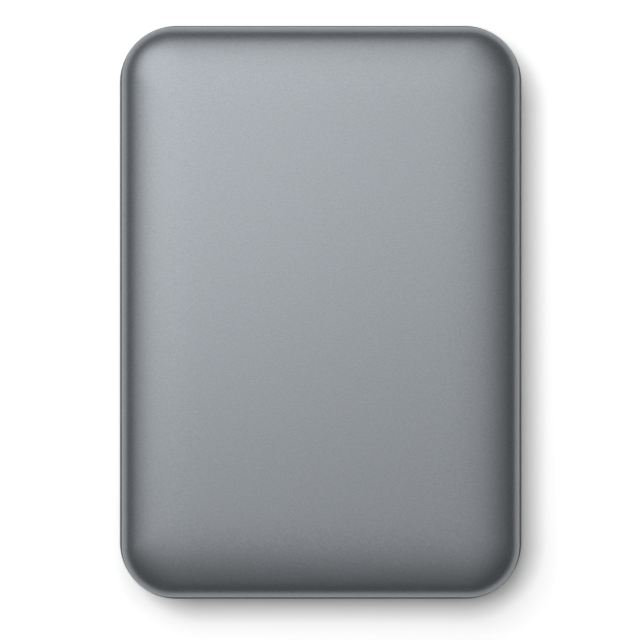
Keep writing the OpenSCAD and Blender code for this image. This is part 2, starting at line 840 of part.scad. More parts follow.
// Socket on the bridge board: a flange and two noses that go round the drive's tongues
module sata_socket() {
    slot_h = tongue_thick + 0.5;
    color([0.1, 0.1, 0.11])
    in_drive()
        difference() {
            union() {
                block(
                    sata_x - sata_w / 2, rear_y + socket_gap, bridge_top - drive_z,
                    sata_w, socket_body, sata_z + sata_h - bridge_top + drive_z
                );
                for (c = cavities)
                    block(
                        c[0] - c[1] / 2 + sata_fit, rear_y - sata_depth + 0.3,
                        sata_mid - cavity_h / 2 + sata_fit, c[1] - 2 * sata_fit,
                        sata_depth - 0.3 + socket_gap + bite, cavity_h - 2 * sata_fit
                    );
            }
            for (c = cavities)
                block(
                    c[0] - c[1] / 2 + 0.6 - sata_fit, rear_y - sata_depth, sata_mid - slot_h / 2,
                    c[1] - 1.2 + 2 * sata_fit, sata_depth + 0.1, slot_h
                );
        }
}

module socket_legs() {
    color([0.83, 0.68, 0.36])
    for (c = cavities, i = [0 : c[2] - 1])
        block(
            c[0] + (i - (c[2] - 1) / 2) * sata_pitch - 0.3, drive_rear + socket_gap + socket_body,
            bridge_top, 0.6, 1, 0.12
        );
}

// Aluminium casting of the drive
module drive_base() {
    color([0.66, 0.67, 0.68])
    in_drive()
    difference() {
        translate([0, (front_y + rear_y) / 2, 0])
            rounded_plate(drive_w, drive_l, drive_corner_r, 0, cast_top);
        translate([0, 0, well_z])
            cylinder(h = 10, r = well_r);
        block(bay_left, 2, well_z, bay_x - bay_left, bay_rear - 2, 10);
        block(
            board_side - 0.2 - drive_w / 2, board_front - 0.3, -1,
            drive_w - 2 * board_side + 0.4, drive_l, board_recess + 1
        );
        block(sata_x - sata_w / 2 - 0.2, sata_back - 0.2, -1, sata_w + 0.4, 20, sata_z + sata_h + 1.2);
        translate([0, 0, sleeve_foot])
            cylinder(h = 10, r = sleeve_r + 0.02);
        for (x = [-1, 1], y = [rear_y - 14, rear_y - 90.6])
            translate([x * drive_w / 2, y, side_hole_z])
                rotate([0, 90, 0])
                    cylinder(h = 2 * side_hole_d, r = side_hole_r, center = true);
        for (i = [0 : 4])
            translate([lid_screws[i][0], lid_screws[i][1], cast_top - screw_l])
                cylinder(h = 10, r = screw_r + screw_fit);
        for (p = board_screw_points)
            translate([p[0], p[1], -1])
                cylinder(h = 1 + board_recess + 0.4, r = screw_r + screw_fit);
    }
}

board_screw_points = [
    [4.4 - drive_w / 2, board_front + 4], [drive_w / 2 - 6.9, board_front + 4],
    [6.9 - drive_w / 2, rear_y - 9]
];

module lid_gasket() {
    color([0.13, 0.13, 0.14])
    in_drive()
    difference() {
        translate([0, (front_y + rear_y) / 2, 0])
            rounded_plate(drive_w - 1, drive_l - 1, drive_corner_r, cast_top, gasket_t);
        translate([0, 0, 0])
            cylinder(h = 20, r = well_r + 0.4);
        block(bay_left - 0.4, 2, 0, bay_x - bay_left + 0.7, bay_rear - 1.6, 20);
        for (p = lid_screws)
            translate([p[0], p[1], 0])
                cylinder(h = 20, r = screw_r + 0.15);
    }
}

// Stamped lid of the drive with a raised panel over the disk and a breather hole
module drive_lid() {
    panel_h = 0.15;
    color([0.76, 0.77, 0.78])
    in_drive()
    difference() {
        translate([0, (front_y + rear_y) / 2, 0])
            rounded_plate(
                drive_w - 2 * lid_inset, drive_l - 2 * lid_inset, drive_corner_r - lid_inset,
                lid_z, drive_cover_t
            );
        translate([0, 0, drive_h - panel_h])
            difference() {
                cylinder(h = 1, r = platter_r - 0.5);
                translate([0, 0, -1])
                    cylinder(h = 3, r = platter_r - 2);
            }
        translate([0, 0, drive_h - panel_h])
            cylinder(h = 1, r = 9);
        translate([bay_left + 7.5, pivot_dy + 8.5, 0])
            cylinder(h = 20, r = 0.6);
        for (p = lid_screws)
            translate([p[0], p[1], 0]) {
                cylinder(h = 20, r = screw_r + 0.15);
                translate([0, 0, drive_h - screw_head_h])
                    cylinder(h = 2, r = screw_head_r + 0.1);
            }
    }
}

module lid_screws() {
    color([0.3, 0.3, 0.32])
    in_drive()
        for (p = lid_screws)
            translate([p[0], p[1], drive_h - screw_head_h])
                screw(screw_head_r, screw_head_h, screw_r, drive_h - screw_head_h - cast_top + screw_l - 0.1);
}

drive_board_z = 0.3;
drive_board_t = 0.8;

module drive_board() {
    color([0.06, 0.2, 0.36])
    in_drive()
    difference() {
        block(
            board_side - drive_w / 2, board_front, drive_board_z,
            drive_w - 2 * board_side, rear_y - board_front - 1, drive_board_t
        );
        for (p = board_screw_points)
            translate([p[0], p[1], -1])
                cylinder(h = 4, r = screw_r + screw_fit);
    }
}

module board_screws() {
    color([0.3, 0.3, 0.32])
    in_drive()
        for (p = board_screw_points)
            translate([p[0], p[1], drive_board_z])
                rotate([180, 0, 0])
                    screw(1.5, 0.28, screw_r, board_recess - drive_board_z + 0.3);
}

module controller_chip() {
    color([0.09, 0.09, 0.1])
    in_drive()
        translate([-6, board_front + 20, drive_board_z + drive_board_t])
            chip(12, 12, 0.6);
}

module motor_chip() {
    color([0.1, 0.1, 0.11])
    in_drive()
        translate([14, board_front + 14, drive_board_z + drive_board_t])
            chip(7, 7, 0.6);
}

module bearing_sleeve() {
    bore = shaft_r + shaft_fit;
    color([0.72, 0.6, 0.4])
    in_drive()
        rotate_extrude()
            polygon([
                [0, sleeve_foot], [sleeve_r, sleeve_foot], [sleeve_r, sleeve_top],
                [bore, sleeve_top], [bore, sleeve_foot + 0.2], [0, sleeve_foot + 0.2]
            ]);
}

module motor_stator() {
    tooth_w = 0.9;
    shoe_t = 0.6;
    color([0.5, 0.51, 0.53])
    in_drive()
    difference() {
        union() {
            translate([0, 0, well_z])
                cylinder(h = stator_z - well_z + stator_h, r = stator_bore + 0.9);
            for (i = [0 : teeth - 1])
                rotate([0, 0, i * 360 / teeth]) {
                    block(stator_bore + 0.5, -tooth_w / 2, stator_z, stator_r - stator_bore - 0.8, tooth_w, stator_h);
                    sector(stator_r - shoe_t, stator_r, -130 / teeth, 260 / teeth, stator_z, stator_h);
                }
        }
        cylinder(h = 20, r = stator_bore);
    }
}

module stator_coils() {
    tooth_w = 0.9;
    build = 0.15;
    from = stator_bore + 1;
    length = stator_r - 0.7 - from;
    color([0.72, 0.4, 0.2])
    in_drive()
        for (i = [0 : teeth - 1])
            rotate([0, 0, i * 360 / teeth])
                difference() {
                    block(
                        from, -tooth_w / 2 - 2 * build, stator_z - build,
                        length, tooth_w + 4 * build, stator_h + 2 * build
                    );
                    block(
                        from - 1, -tooth_w / 2 - 0.02, stator_z - 0.02,
                        length + 2, tooth_w + 0.04, stator_h + 0.04
                    );
                }
}

module spindle_shaft() {
    color([0.75, 0.76, 0.78])
    in_drive()
    difference() {
        translate([0, 0, sleeve_foot + 0.3])
            cylinder(h = hub_top - sleeve_foot - 0.3, r = shaft_r);
        translate([0, 0, hub_top - 2.1])
            cylinder(h = 5, r = screw_r + screw_fit);
    }
}

module spindle_hub() {
    color([0.7, 0.71, 0.73])
    in_drive()
        rotate_extrude()
            polygon([
                [shaft_r + 0.01, hub_top - hub_plate_t], [cup_r, hub_top - hub_plate_t],
                [cup_r, hub_foot], [hub_r, hub_foot], [hub_r, platter_z - 0.6],
                [hub_flange_r, platter_z - 0.6], [hub_flange_r, platter_z], [hub_r, platter_z],
                [hub_r, hub_top], [shaft_r + 0.01, hub_top]
            ]);
}

module rotor_magnet() {
    color([0.25, 0.25, 0.27])
    in_drive()
        sector_ring(cup_r - rotor_magnet_t, cup_r - 0.01, hub_foot + 0.05, hub_top - hub_plate_t - 0.25);
}

// Full ring between two radii and two heights
module sector_ring(r_in, r_out, z0, z1) {
    rotate_extrude()
        translate([r_in, z0])
            square([r_out - r_in, z1 - z0]);
}

module platter() {
    color([0.82, 0.83, 0.84])
    in_drive()
        sector_ring(platter_bore, platter_r, platter_z, platter_top);
}

// Sprung dish that presses the platter down on the hub
module disk_clamp() {
    rim_in = platter_bore + 0.6;
    color([0.74, 0.75, 0.77])
    in_drive()
        rotate_extrude()
            polygon([
                [screw_r + 0.15, hub_top], [hub_r, hub_top], [rim_in, platter_top],
                [hub_flange_r, platter_top], [hub_flange_r, platter_top + clamp_t],
                [rim_in + 0.5, platter_top + clamp_t], [hub_r + 0.2, hub_top + clamp_t],
                [screw_r + 0.15, hub_top + clamp_t]
            ]);
}

module clamp_screw() {
    color([0.3, 0.3, 0.32])
    in_drive()
        translate([0, 0, hub_top + clamp_t])
            screw(2.4, 0.3, screw_r, 2.3);
}

module pivot_shaft() {
    color([0.75, 0.76, 0.78])
    in_drive()
        translate([pivot_dx, pivot_dy, 0])
            difference() {
                union() {
                    translate([0, 0, well_z])
                        cylinder(h = lid_z - well_z - 0.02, r = pivot_r);
                    translate([0, 0, well_z])
                        cylinder(h = 0.2, r = pivot_r + 0.6);
                }
                translate([0, 0, cast_top - screw_l])
                    cylinder(h = 10, r = screw_r + screw_fit);
            }
}

pivot_bore = pivot_r + 0.7;

module pivot_bearings() {
    color([0.6, 0.61, 0.63])
    in_drive()
        translate([pivot_dx, pivot_dy, 0])
            for (z = [well_z + 0.55, cast_top - 1.25])
                sector_ring(pivot_r + 0.01, pivot_bore - 0.04, z, z + 0.7);
}

module pivot_sleeve() {
    color([0.68, 0.69, 0.7])
    on_arm()
        sector_ring(pivot_bore, pivot_sleeve_r, well_z + 0.35, cast_top - 0.35);
}

// Two arms, the ring round the pivot sleeve and the fork that holds the coil
module arm_block() {
    arm_l = 25;
    root = 4.6;
    tip = 2.2;
    color([0.7, 0.71, 0.72])
    on_arm()
    difference() {
        union() {
            translate([0, 0, arm_low_bottom])
                cylinder(h = arm_high_top - arm_low_bottom, r = block_r);
            for (z = [arm_low_bottom, arm_high_bottom])
                translate([0, 0, z])
                    linear_extrude(arm_t)
                        polygon([[0, -root], [arm_l, -tip], [arm_l, tip], [0, root]]);
            for (side = [-1, 1])
                sector(
                    block_r - 1, coil_r - 1.2,
                    180 + side * (coil_half + 5) - 3.5, 7, coil_z, coil_t
                );
        }
        translate([0, 0, -1])
            cylinder(h = 20, r = pivot_sleeve_r + 0.01);
        for (x = [11, 17])
            translate([x, 0, -1])
                cylinder(h = 20, r = x == 11 ? 1.9 : 1.4);
    }
}

module voice_coil() {
    turns = 2.2;
    color([0.72, 0.4, 0.2])
    on_arm()
    difference() {
        sector(coil_inner_r, coil_r, 180 - coil_half, 2 * coil_half, coil_z, coil_t);
        sector(coil_inner_r + turns, coil_r - turns, 180 - coil_half + 11, 2 * coil_half - 22, coil_z - 1, coil_t + 2);
    }
}

// Sprung steel blade from an arm's end to its head, with the lifting tab beyond the head
module suspension(z) {
    color([0.8, 0.8, 0.81])
    on_arm()
        translate([0, 0, z]) {
            linear_extrude(suspension_t)
                polygon([
                    [20, -2], [25, -2], [head_reach + 0.8, -0.6], [head_reach + 0.8, 0.6], [25, 2], [20, 2]
                ]);
            block(head_reach + 0.6, -0.35, 0, tab_outer - head_reach - 0.6, 0.7, suspension_t);
        }
}

module head_sliders() {
    color([0.2, 0.2, 0.22])
    on_arm()
        for (z = [arm_low_top + suspension_t, arm_high_bottom - suspension_t - slider_t])
            block(head_reach - 0.62, -0.5, z, 1.24, 1, slider_t);
}

// Plate of the voice-coil motor between two heights
module yoke_plate(z0, z1) {
    sector(yoke_inner_r, yoke_outer_r, yoke_start, yoke_end - yoke_start, z0, z1 - z0);
}

// Places children at the pivot, unturned
module at_pivot() {
    in_drive()
        translate([pivot_dx, pivot_dy, 0])
            children();
}

module lower_yoke() {
    color([0.62, 0.63, 0.65])
    at_pivot()
        yoke_plate(well_z, yoke_low_top);
}

// Upper plate with the two posts that stand it off the lower one
module upper_yoke() {
    color([0.62, 0.63, 0.65])
    at_pivot() {
        yoke_plate(yoke_high_bottom, yoke_high_bottom + yoke_t);
        for (p = yoke_posts)
            rotate([0, 0, p[1]])
                translate([p[0], 0, yoke_low_top])
                    cylinder(h = yoke_high_bottom - yoke_low_top + bite, r = yoke_post_r);
    }
}

// Arc magnet between two heights
module arc_magnet(z0, z1) {
    half = 36;
    color([0.55, 0.56, 0.58])
    at_pivot()
        sector(yoke_inner_r + 0.4, yoke_outer_r - 0.4, coil_middle - half, 2 * half, z0, z1 - z0);
}

// Plastic ramp that the lifting tabs slide up on when the heads park
module load_ramp() {
    arc_start = park_angle - 4;
    arc_sweep = 11.5;
    color([0.9, 0.89, 0.84])
    in_drive()
    difference() {
        translate([pivot_dx, pivot_dy, 0]) {
            sector(
                tab_inner, tab_outer + 0.3, arc_start, arc_sweep,
                arm_low_top + suspension_t + 0.05, 2 * (platter_mid - arm_low_top - suspension_t - 0.05)
            );
            sector(
                tab_outer + 0.25, tab_outer + 3.8, arc_start - 2, 8,
                well_z, arm_high_bottom - suspension_t - 0.05 - well_z
            );
        }
        translate([0, 0, platter_z - 0.15])
            cylinder(h = platter_t + 0.3, r = platter_r + 0.5);
    }
}

module air_filter() {
    color([0.93, 0.93, 0.9])
    in_drive()
        block(bay_left + 0.2, filter_y, well_z, 3.2, 8, cast_top - well_z - 0.3);
}

// Flexible circuit: a bracket on the casting and the ribbon that wraps towards the arm block
module flex_cable() {
    ribbon_t = 0.15;
    ribbon_r = block_r + 0.25;
    turn = 100;
    run = 13;
    ribbon_z = well_z + 0.6;
    ribbon_h = 2.2;
    color([0.72, 0.42, 0.12])
    at_pivot() {
        sector(ribbon_r, ribbon_r + ribbon_t, turn - 12, 12, ribbon_z, ribbon_h);
        rotate([0, 0, turn])
            block(ribbon_r, -0.02, ribbon_z, ribbon_t, run, ribbon_h);
        rotate([0, 0, turn])
            block(ribbon_r - 2, run - 0.3, well_z, 5, 5, ribbon_z - well_z + ribbon_h);
    }
}

top_cover();
base_cover();
foot(-1, -1);  // foot_front_left
foot(1, -1);  // foot_front_right
foot(-1, 1);  // foot_rear_left
foot(1, 1);  // foot_rear_right
boot(-1, -1);  // boot_front_left
boot(1, -1);  // boot_front_right
boot(-1, 1);  // boot_rear_left
boot(1, 1);  // boot_rear_right
foam_pad(0);  // foam_pad_front
foam_pad(1);  // foam_pad_rear
shield_foil();
bridge_board();
usb_shell();
usb_insulator();
usb_contacts();
bridge_chip();
flash_chip();
bridge_passives();
status_led();
light_pipe();
sata_socket();
socket_legs();
bridge_screw();
drive_base();
drive_lid();
lid_gasket();
lid_screws();
drive_board();
controller_chip();
motor_chip();
board_screws();
sata_plug();
sata_contacts();
bearing_sleeve();
motor_stator();
stator_coils();
spindle_shaft();
spindle_hub();
rotor_magnet();
platter();
disk_clamp();
clamp_screw();
pivot_shaft();
pivot_bearings();
pivot_sleeve();
arm_block();
voice_coil();
suspension(arm_low_top);  // suspension_lower
suspension(arm_high_bottom - suspension_t);  // suspension_upper
head_sliders();
lower_yoke();
upper_yoke();
arc_magnet(yoke_low_top, magnet_low_top);  // lower_magnet
arc_magnet(magnet_high_bottom, yoke_high_bottom);  // upper_magnet
load_ramp();
air_filter();
flex_cable();
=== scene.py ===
"""Studio view of a portable external hard drive: a satin grey case with soft, rolled edges.

Everything is in metres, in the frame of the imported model: +Z up, +Y towards the port.
"""
import json
import math

import bpy
import numpy as np
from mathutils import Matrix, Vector


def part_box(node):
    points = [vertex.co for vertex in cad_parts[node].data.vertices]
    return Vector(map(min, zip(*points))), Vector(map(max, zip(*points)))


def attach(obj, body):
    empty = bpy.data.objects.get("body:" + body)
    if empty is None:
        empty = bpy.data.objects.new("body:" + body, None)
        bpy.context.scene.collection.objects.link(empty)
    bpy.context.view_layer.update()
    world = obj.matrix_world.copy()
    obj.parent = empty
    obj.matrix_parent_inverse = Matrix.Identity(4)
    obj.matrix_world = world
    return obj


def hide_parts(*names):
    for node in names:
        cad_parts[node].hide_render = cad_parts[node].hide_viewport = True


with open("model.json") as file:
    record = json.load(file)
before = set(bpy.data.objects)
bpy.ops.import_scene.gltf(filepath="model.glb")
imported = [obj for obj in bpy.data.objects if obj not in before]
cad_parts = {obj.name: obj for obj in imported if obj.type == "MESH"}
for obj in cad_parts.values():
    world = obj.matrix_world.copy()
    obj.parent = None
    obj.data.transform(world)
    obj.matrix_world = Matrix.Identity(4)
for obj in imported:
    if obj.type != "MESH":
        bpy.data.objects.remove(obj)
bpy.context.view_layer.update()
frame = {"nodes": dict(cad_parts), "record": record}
nodes = frame["nodes"]
MM = 0.001

# Case sizes
base_low, base_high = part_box("base_cover")
cover_low, cover_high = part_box("top_cover")
LIP_HALF_W = (base_high.x - base_low.x) / 2
LIP_HALF_L = (base_high.y - base_low.y) / 2
RIM_HALF_W = (cover_high.x - cover_low.x) / 2
RIM_HALF_L = (cover_high.y - cover_low.y) / 2
CROWN_Z = cover_high.z
BELLY_Z = base_low.z
LIP_Z = 6.3 * MM
RIM_Z = 6.6 * MM
WALL = 1.5 * MM
LIP_CORNER = 11.6 * MM
CROWN_CORNER = 4.0 * MM
LEAST_CORNER = 0.3 * MM

# Cover: its rolled edge, and its rim, drawn in from the solid's to leave room for the dark groove
ROLL = 22.0 * MM
ROLL_POWER = 4.0
WALL_DRAW = 0.7 * MM
RIM_DRAW = 0.30 * MM
RIM_CORNER = 10.65 * MM
RIM_SOFT_IN = 0.12 * MM
RIM_BEVEL_IN = 0.03 * MM
RIM_BEVEL_UP = 0.04 * MM
ROLL_START = 0.15 * MM

# Base: its rolled underside, the rounded lip, and the groove between the lip and the cover's rim
UNDER_ROLL = 5.0 * MM
ROUND_POWER = 2.0
LIP_W = 0.26 * MM
LIP_ROUND = 0.2 * MM
LIP_START = 1.1 * LIP_ROUND
LIP_INNER_CORNER = 10.99 * MM
GROOVE_D = 0.7 * MM
GROOVE_IN = 0.7 * MM
GROOVE_IN_CORNER = 10.6 * MM
GROOVE_DRAFT = 0.01 * MM

# General shapes
SIDE_SHARE = 0.45
SHARP_ANGLE = 40.0

# Tongue, hooks, ribs and supports inside the case
TONGUE_TOP = 8.5 * MM
TONGUE_OUT = 2.27 * MM
TONGUE_IN = 3.17 * MM
LEDGE_Z = 4.7 * MM
HOOK_REACH = 2.9 * MM
HOOK_ROOT = 1.05 * MM
HOOK_W = 4.0 * MM
HOOK_Z = 7.1 * MM
HOOK_H = 0.6 * MM
HOOK_GAP = 0.2 * MM
HOOK_CUT_PAST = 1.0 * MM
SIDE_HOOKS = (18.0 * MM, 30.0 * MM)
FRONT_HOOK = 12.0 * MM
RIB_Z = 11.2 * MM
RIB_T = 1.0 * MM
RIB_BITE = 0.4 * MM
RIB_PITCH = 36.0 * MM
RIB_HALF_L = 41.5 * MM
RIB_HALF_W = 30.0 * MM
RIB_PLACES = (0.25, 0.75)
BAY_GAP = 0.7 * MM
BAY_DEPTH = 11.5 * MM
BAY_Z = 2.0 * MM
POST_R = 1.9 * MM
POST_BORE_R = 0.81 * MM
SUPPORT_BITE = 0.2 * MM
REST_HALF_W = 4.0 * MM
REST_SPAN = (4.5 * MM, 2.5 * MM)


def outlines(half_w, half_l, corner, arc_points=32, side_points=10):
    """Rounded rectangles, one for each value of the three arrays, as points in order.

    A corner is a quarter circle about (half_w - corner, half_l - corner). A side is a straight run,
    in equal steps, from the end of one quarter circle to the start of the next.
    """
    half_w, half_l, corner = (np.atleast_1d(np.asarray(v, float))[:, None]
                              for v in (half_w, half_l, corner))
    step = np.linspace(0.0, 1.0, side_points + 2)[None, 1:-1]
    signs = ((1, 1), (-1, 1), (-1, -1), (1, -1))
    arcs = []
    for quarter, (sx, sy) in enumerate(signs):
        angle = np.radians(90 * quarter + np.linspace(0.0, 90.0, arc_points))[None]
        arcs.append(np.stack([sx * (half_w - corner) + corner * np.cos(angle),
                              sy * (half_l - corner) + corner * np.sin(angle)], -1))
    runs = []
    for quarter in range(4):
        here, after = arcs[quarter], arcs[(quarter + 1) % 4]
        runs += [here, here[:, -1:] * (1 - step[..., None]) + after[:, :1] * step[..., None]]
    return np.concatenate(runs, 1)


def skin_mesh(name, rings, closed=False):
    """Mesh from rings of equal length: quads between neighbours, and one face at each end.

    A closed skin runs on from its last ring to its first and has no end faces.
    """
    rings = np.asarray(rings)
    count, around = rings.shape[:2]
    index = np.arange(count * around).reshape(count, around)
    if closed:
        index = np.concatenate([index, index[:1]])
    ahead = np.roll(index, -1, axis=1)
    quads = np.stack([index[:-1], ahead[:-1], ahead[1:], index[1:]], -1).reshape(-1, 4).tolist()
    ends = [] if closed else [index[0][::-1].tolist(), index[-1].tolist()]
    mesh = bpy.data.meshes.new(name)
    mesh.from_pydata(rings.reshape(-1, 3).tolist(), [], quads + ends)
    mesh.update()
    return mesh


def swept_skin(name, section, half_w, half_l, corner, inner_corner=None, closed=False):
    """A section of (inset, height) or (inset, height, corner radius) points carried round a rounded
    rectangle.

    Where it isn't given, the corner radius at an inset is corner less the inset, or, with an inner
    corner, inner_corner plus the difference of the two times exp(-inset / difference): it shrinks
    with the inset near the rim and holds further in, so that the corners have no crease.
    """
    inset, height, *given = np.asarray(section, float).T
    radius = given[0] if given else np.maximum(corner - inset, LEAST_CORNER)
    if inner_corner is not None:
        more = corner - inner_corner
        radius = inner_corner + more * np.exp(-inset / more)
    flat = outlines(half_w - inset, half_l - inset, radius)
    level = np.broadcast_to(height[:, None, None], flat.shape[:2] + (1,))
    return skin_mesh(name, np.concatenate([flat, level], -1), closed)


def rolled_edge(roll, rise, power, start_z, points):
    """Section of a rolled edge: the height over the rim is rise times
    (1 - (1 - inset / roll) ** power) ** (1 / power)."""
    t = np.radians(np.linspace(0.0, 90.0, points))
    across = np.cos(t) ** (2.0 / power)
    up = np.sin(t) ** (2.0 / power)
    return np.column_stack([roll * (1 - across), start_z + rise * up])


def turned_mesh(name, x, y, profile, points=72, closed=False):
    """A profile of (radius, height) points turned about the upright line through x, y."""
    radius, height = np.asarray(profile, float).T
    turn = np.linspace(0.0, 2 * math.pi, points, endpoint=False)[None]
    rings = np.stack([x + radius[:, None] * np.cos(turn), y + radius[:, None] * np.sin(turn),
                      np.broadcast_to(height[:, None], (len(height), points))], -1)
    return skin_mesh(name, rings, closed)


def box_mesh(low, high):
    """Closed box between two corners."""
    low, high = np.asarray(low, float), np.asarray(high, float)
    unit = np.array([[x, y, z] for x in (0, 1) for y in (0, 1) for z in (0, 1)], float)
    sides = [(0, 1, 3, 2), (4, 6, 7, 5), (0, 4, 5, 1), (2, 3, 7, 6), (0, 2, 6, 4), (1, 5, 7, 3)]
    mesh = bpy.data.meshes.new("box")
    mesh.from_pydata((low + unit * (high - low)).tolist(), [], sides)
    mesh.update()
    return mesh


def soft_polygon(corners, radius, points=7):
    """Polygon whose corners are rounded: at each corner p, between the points a and b at radius
    along its two sides, or at SIDE_SHARE of a short side, the curve
    (1-s)^2 a + 2 s (1-s) p + s^2 b."""
    p = np.asarray(corners, float)
    back, ahead = np.roll(p, 1, 0) - p, np.roll(p, -1, 0) - p
    reach_back, reach_ahead = (np.linalg.norm(v, axis=1, keepdims=True) for v in (back, ahead))
    a = p + back / reach_back * np.minimum(radius, reach_back * SIDE_SHARE)
    b = p + ahead / reach_ahead * np.minimum(radius, reach_ahead * SIDE_SHARE)
    s = np.linspace(0.0, 1.0, points)[None, :, None]
    curve = (1 - s) ** 2 * a[:, None] + 2 * s * (1 - s) * p[:, None] + s ** 2 * b[:, None]
    return curve.reshape(-1, 2)


def drawn_in(corners, depth):
    """Anticlockwise polygon with every side moved inwards by depth: a corner between sides with
    outward normals m and n moves by -depth (m + n) / (1 + m.n)."""
    p = np.asarray(corners, float)
    side = np.roll(p, -1, 0) - p
    n = np.column_stack([side[:, 1], -side[:, 0]]) / np.linalg.norm(side, axis=1)[:, None]
    m = np.roll(n, 1, 0)
    return p - depth * (m + n) / (1 + (m * n).sum(1, keepdims=True))


def level_bar(outline, x, z, y_from, y_to):
    """Closed bar along Y: the outline in X and Z, moved to x and z, between two places on Y."""
    rings = [np.column_stack([x + outline[:, 0], np.full(len(outline), y), z + outline[:, 1]])
             for y in (y_to, y_from)]
    return skin_mesh("bar", rings)


def joined(name, meshes):
    """One mesh from several closed ones, which keep their own surfaces."""
    verts, faces, start = [], [], 0
    for mesh in meshes:
        points = np.empty(3 * len(mesh.vertices))
        mesh.vertices.foreach_get("co", points)
        corners = np.empty(len(mesh.loops), np.int32)
        mesh.loops.foreach_get("vertex_index", corners)
        sizes = np.empty(len(mesh.polygons), np.int32)
        mesh.polygons.foreach_get("loop_total", sizes)
        verts.append(points.reshape(-1, 3))
        faces += [face.tolist() for face in np.split(start + corners, np.cumsum(sizes)[:-1])]
        start += len(mesh.vertices)
    result = bpy.data.meshes.new(name)
    result.from_pydata(np.concatenate(verts).tolist(), [], faces)
    result.update()
    return result


def cut_away(mesh, cutters):
    """Mesh less the closed cutter meshes, worked out once and kept as plain geometry."""
    host = bpy.data.objects.new("host", mesh)
    bpy.context.scene.collection.objects.link(host)
    tools = []
    for cutter in cutters:
        tool = bpy.data.objects.new("cutter", cutter)
        bpy.context.scene.collection.objects.link(tool)
        tools.append(tool)
        cut = host.modifiers.new("cut", "BOOLEAN")
        cut.operation = "DIFFERENCE"
        cut.solver = "EXACT"
        cut.object = tool
    bpy.context.view_layer.update()
    result = bpy.data.meshes.new_from_object(host.evaluated_get(bpy.context.evaluated_depsgraph_get()))
    for thing in [host] + tools:
        bpy.data.objects.remove(thing)
    return result


def add_piece(name, mesh, node, slot):
    """Links a finished piece in place of a node, on the case, shaded smooth up to SHARP_ANGLE."""
    piece = bpy.data.objects.new(name, mesh)
    bpy.context.scene.collection.objects.link(piece)
    mesh.materials.clear()
    mesh.materials.append(finishes[slot])
    mesh.polygons.foreach_set("use_smooth", np.ones(len(mesh.polygons), bool))
    mesh.set_sharp_from_angle(angle=math.radians(SHARP_ANGLE))
    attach(piece, "case")
    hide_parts(node)


# Finishes
BRUSH_STRETCH = 40
GRAIN_RANGE = (0.25, 0.75)


def light_value(shade):
    """Linear light of a shade as seen on a screen."""
    return tuple(((c + 0.055) / 1.055) ** 2.4 for c in shade)


def speckle(tree, place, size):
    """Fine round grain of one size."""
    noise = tree.nodes.new("ShaderNodeTexNoise")
    noise.inputs["Scale"].default_value = 1.0 / size
    noise.inputs["Detail"].default_value = 2.0
    tree.links.new(place, noise.inputs["Vector"])
    return noise.outputs["Fac"]


def brushed(tree, place, size):
    """Grain drawn out along X, as rolling or brushing leaves it."""
    stretch = tree.nodes.new("ShaderNodeMapping")
    stretch.inputs["Scale"].default_value = (1 / BRUSH_STRETCH, 1, 1)
    tree.links.new(place, stretch.inputs["Vector"])
    return speckle(tree, stretch.outputs["Vector"], size)


def cells(tree, place, size):
    """Open pores, as in foam and felt."""
    pores = tree.nodes.new("ShaderNodeTexVoronoi")
    pores.inputs["Scale"].default_value = 1.0 / size
    tree.links.new(place, pores.inputs["Vector"])
    return pores.outputs["Distance"]


def rings_about(x, y):
    """Fine rings about an upright line, as turning leaves them."""
    def rings(tree, place, size):
        centre = tree.nodes.new("ShaderNodeMapping")
        centre.inputs["Location"].default_value = (-x, -y, 0)
        centre.inputs["Scale"].default_value = (1, 1, 0)
        radius = tree.nodes.new("ShaderNodeVectorMath")
        radius.operation = "LENGTH"
        noise = tree.nodes.new("ShaderNodeTexNoise")
        noise.noise_dimensions = "1D"
        noise.inputs["Scale"].default_value = 1.0 / size
        noise.inputs["Detail"].default_value = 3.0
        tree.links.new(place, centre.inputs["Vector"])
        tree.links.new(centre.outputs["Vector"], radius.inputs[0])
        tree.links.new(radius.outputs["Value"], noise.inputs["W"])
        return noise.outputs["Fac"]
    return rings


def layers(tree, place, size):
    """Level layers, one above the other, as in a stack of stamped sheets."""
    bands = tree.nodes.new("ShaderNodeTexWave")
    bands.bands_direction = "Z"
    bands.inputs["Scale"].default_value = 1.0 / size
    bands.inputs["Distortion"].default_value = 0.4
    tree.links.new(place, bands.inputs["Vector"])
    return bands.outputs["Fac"]


def tracks(tree, place, size):
    """Board tracks: rows of long bars with narrow gaps between them."""
    lines = tree.nodes.new("ShaderNodeTexBrick")
    lines.inputs["Scale"].default_value = 1.0 / size
    lines.inputs["Color1"].default_value = (1, 1, 1, 1)
    lines.inputs["Color2"].default_value = (0.75, 0.75, 0.75, 1)
    lines.inputs["Mortar"].default_value = (0, 0, 0, 1)
    lines.inputs["Mortar Size"].default_value = 0.06
    lines.inputs["Brick Width"].default_value = 2.6
    lines.inputs["Row Height"].default_value = 0.35
    tree.links.new(place, lines.inputs["Vector"])
    return lines.outputs["Color"]


def mapped(tree, value, old_range, new_range):
    """Maps a value straight from one range to another, and holds it at the new range's ends."""
    node = tree.nodes.new("ShaderNodeMapRange")
    node.inputs["From Min"].default_value = old_range[0]
    node.inputs["From Max"].default_value = old_range[1]
    node.inputs["To Min"].default_value = new_range[0]
    node.inputs["To Max"].default_value = new_range[1]
    tree.links.new(value, node.inputs["Value"])
    return node.outputs["Result"]


def combined(tree, operation, first, second):
    """Two values put together by one operation, such as their sum or the larger of them."""
    node = tree.nodes.new("ShaderNodeMath")
    node.operation = operation
    tree.links.new(first, node.inputs[0])
    tree.links.new(second, node.inputs[1])
    return node.outputs["Value"]


